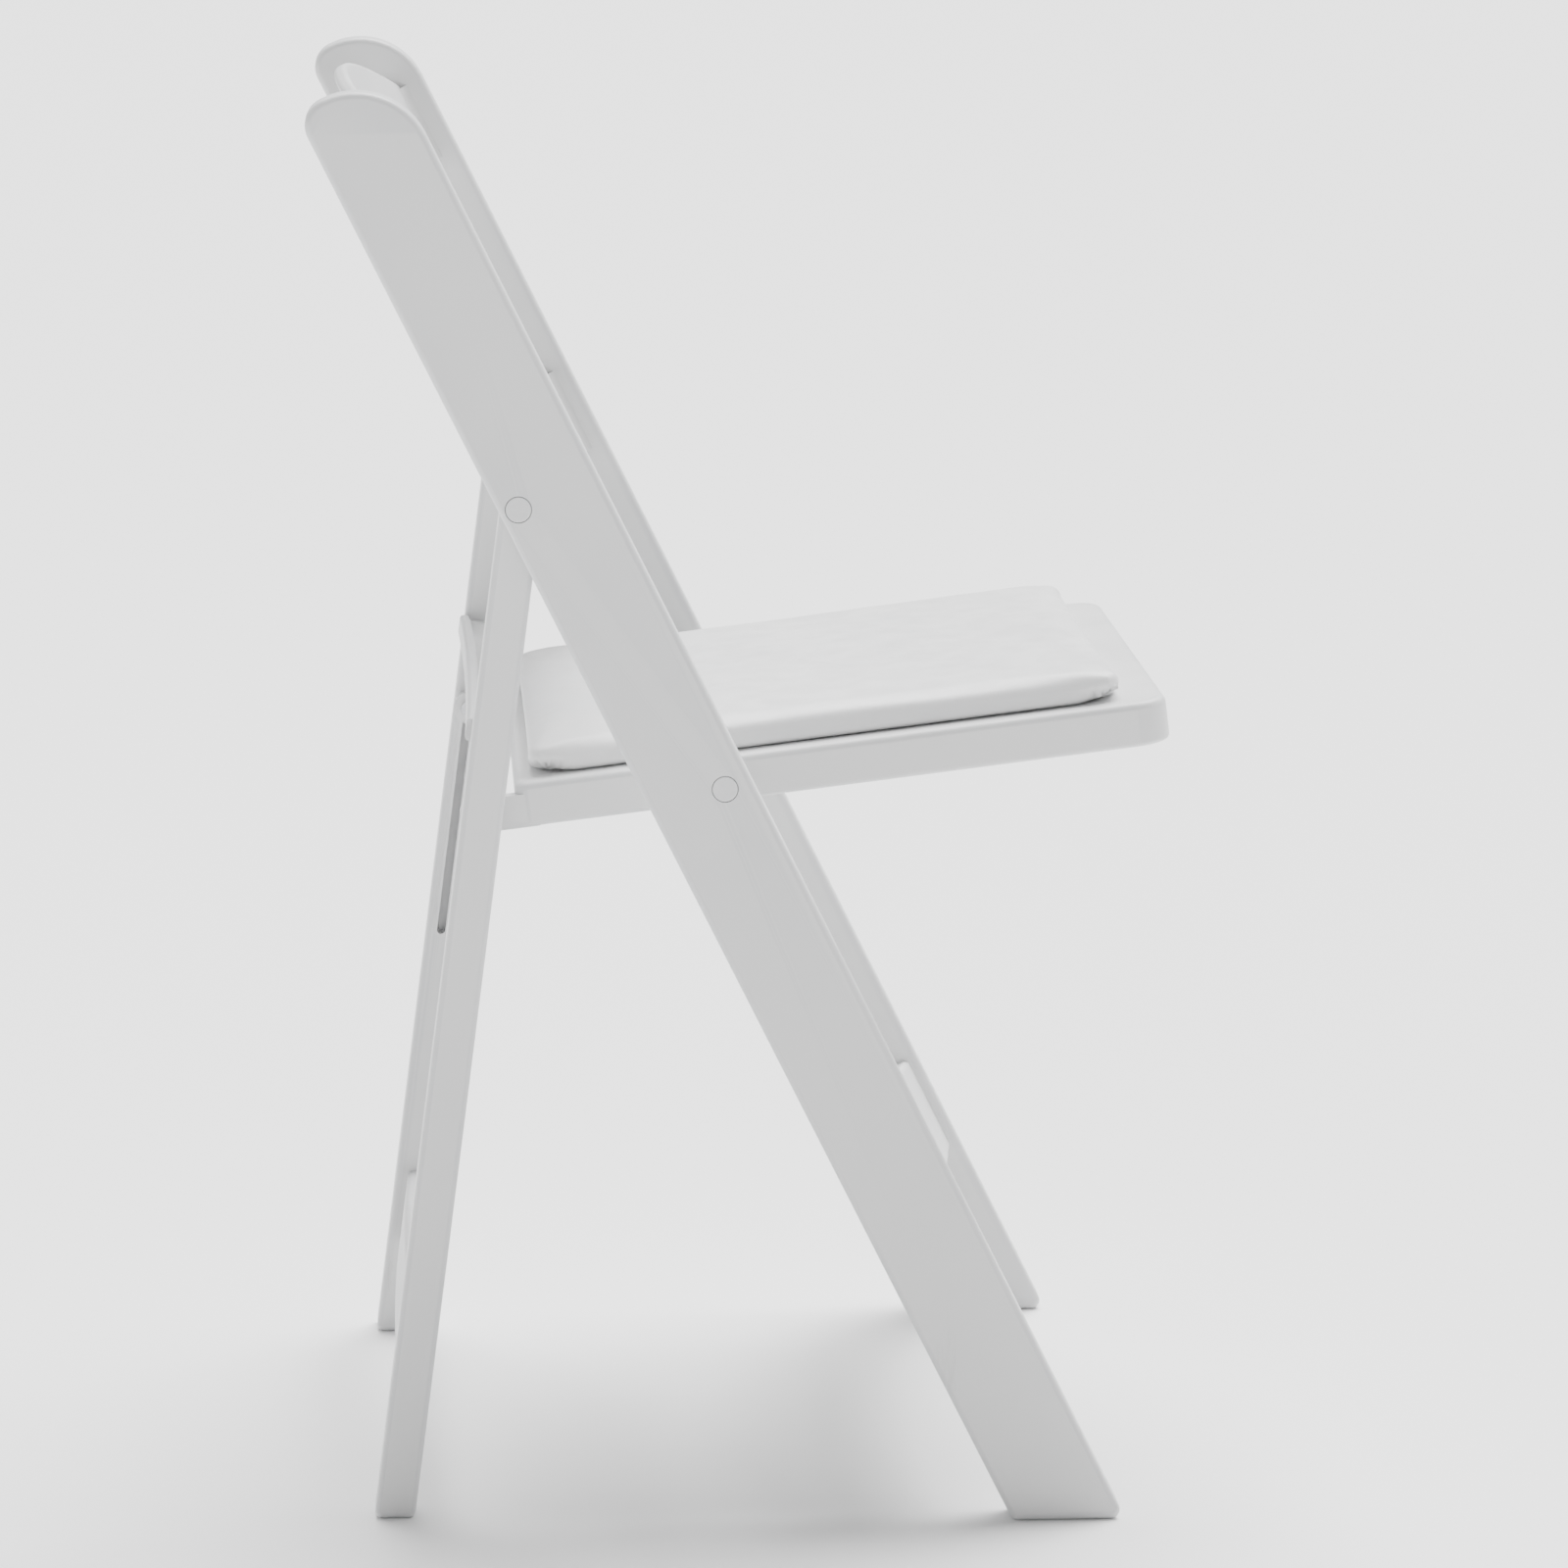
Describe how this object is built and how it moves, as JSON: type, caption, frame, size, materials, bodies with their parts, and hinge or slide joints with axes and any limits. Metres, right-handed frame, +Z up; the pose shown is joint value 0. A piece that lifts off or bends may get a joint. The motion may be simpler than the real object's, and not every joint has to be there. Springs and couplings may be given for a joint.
{
  "type": "folding chair",
  "caption": "Folding chair with leaning side rails, hinged rear legs, curved back slats, cross stretchers and a padded seat that folds up.",
  "frame": {"origin": "on the floor under the centre of the bounding box", "axes": "+X to the sitter's left, -Y forwards, +Z up"},
  "size_m": [0.45, 0.462, 0.7749],
  "materials": {
    "white_resin": "satin",
    "white_nylon": "semi-gloss",
    "steel": "zinc plated",
    "white_vinyl": "satin vinyl",
    "foam": "open cell",
    "plywood": "raw"
  },
  "bodies": {
    "back_frame": {"left_stile": "white_resin", "right_stile": "white_resin", "top_back_slat": "white_resin", "lower_back_slat": "white_resin", "front_stretcher": "white_resin", "back_frame_pins": "steel", "upper_pivot_bolts": "steel", "seat_pivot_bolts": "steel", "pivot_nuts": "steel", "pivot_caps": "white_nylon", "pivot_washers": "steel"},
    "rear_frame": {"left_rear_leg": "white_resin", "right_rear_leg": "white_resin", "rear_upper_slat": "white_resin", "rear_lower_stretcher": "white_resin", "rear_frame_pins": "steel", "upper_pivot_bushes": "white_nylon", "left_slot_liner": "white_nylon", "right_slot_liner": "white_nylon"},
    "seat": {"seat_tray": "white_resin", "seat_pivot_spacers": "white_resin", "slide_pins": "steel", "pad_board": "plywood", "pad_foam": "foam", "pad_cover": "white_vinyl", "pad_screws": "steel", "pad_tee_nuts": "steel"}
  },
  "joints": [
    {"name": "leg_fold", "type": "hinge", "parent": "back_frame", "child": "rear_frame", "pos_m": [0, 0.12212, 0.5568], "axis": [-1, 0, 0], "range_deg": [0, 33.8]},
    {"name": "seat_fold", "type": "hinge", "parent": "back_frame", "child": "seat", "pos_m": [0, 0.01392, 0.4066], "axis": [-1, 0, 0], "range_deg": [0, 93]}
  ],
  "couplings": [
    {"joint": "seat_fold", "follows": "leg_fold", "ratio": 2.75}
  ]
}
